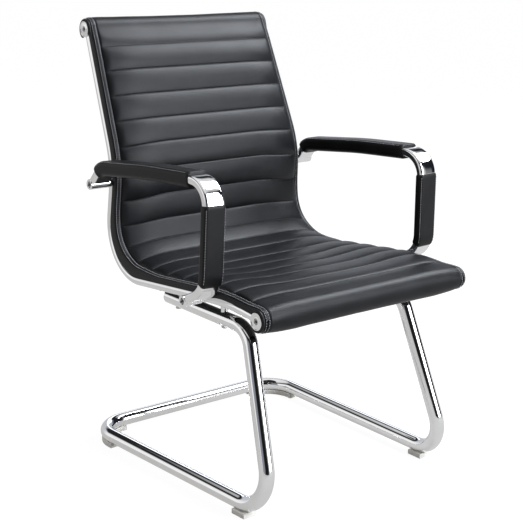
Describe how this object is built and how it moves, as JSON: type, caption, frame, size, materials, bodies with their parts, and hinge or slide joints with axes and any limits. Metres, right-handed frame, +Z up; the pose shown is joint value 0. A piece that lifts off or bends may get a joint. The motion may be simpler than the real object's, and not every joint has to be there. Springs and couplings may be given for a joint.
{
  "type": "cantilever visitor chair",
  "caption": "Cantilever armchair: bent chrome tube sled base, slim chrome side rails, one ribbed padded leather sling for seat and back, and padded arm loops",
  "frame": {"origin": "centre of the chair's footprint box, on the floor", "axes": "+Z is up, -Y is the way a sitter faces, +X is to the right of someone who looks at the front of the chair"},
  "size_m": [0.6042, 0.6682, 0.9219],
  "materials": {
    "chrome": "polished chrome plate on steel",
    "steel": "plain steel",
    "leather": "charcoal black, soft sheen, padded",
    "backing": "plain dark woven liner",
    "glide_plastic": "translucent warm light grey"
  },
  "bodies": {
    "root": {"sled_base_tube": "chrome", "tube_plug_left": "chrome", "tube_plug_right": "chrome", "side_rail_left": "chrome", "side_rail_right": "chrome", "arm_loop_left": "chrome", "arm_loop_right": "chrome", "boss_top_left": "chrome", "boss_top_right": "chrome", "boss_front_left": "chrome", "boss_front_right": "chrome", "arm_barrel_upper_left": "chrome", "arm_barrel_upper_right": "chrome", "arm_barrel_lower_left": "chrome", "arm_barrel_lower_right": "chrome", "base_spacer_front_left": "chrome", "base_spacer_front_right": "chrome", "base_spacer_rear_left": "chrome", "base_spacer_rear_right": "chrome", "front_cross_bar": "steel", "rear_cross_bar": "steel", "top_rod": "steel", "front_rod": "steel", "arm_bolt_upper_left": "steel", "arm_bolt_upper_right": "steel", "arm_bolt_lower_left": "steel", "arm_bolt_lower_right": "steel", "base_bolt_front_left": "steel", "base_bolt_front_right": "steel", "base_bolt_rear_left": "steel", "base_bolt_rear_right": "steel", "boss_screw_top_left": "steel", "boss_screw_top_right": "steel", "boss_screw_front_left": "steel", "boss_screw_front_right": "steel", "glide_screw_front_left": "steel", "glide_screw_front_right": "steel", "glide_screw_rear_left": "steel", "glide_screw_rear_right": "steel", "sling_pad": "leather", "arm_sleeve_top_left": "leather", "arm_sleeve_top_right": "leather", "arm_sleeve_front_left": "leather", "arm_sleeve_front_right": "leather", "sling_back_cover": "backing", "glide_front_left": "glide_plastic", "glide_front_right": "glide_plastic", "glide_rear_left": "glide_plastic", "glide_rear_right": "glide_plastic"}
  },
  "joints": []
}
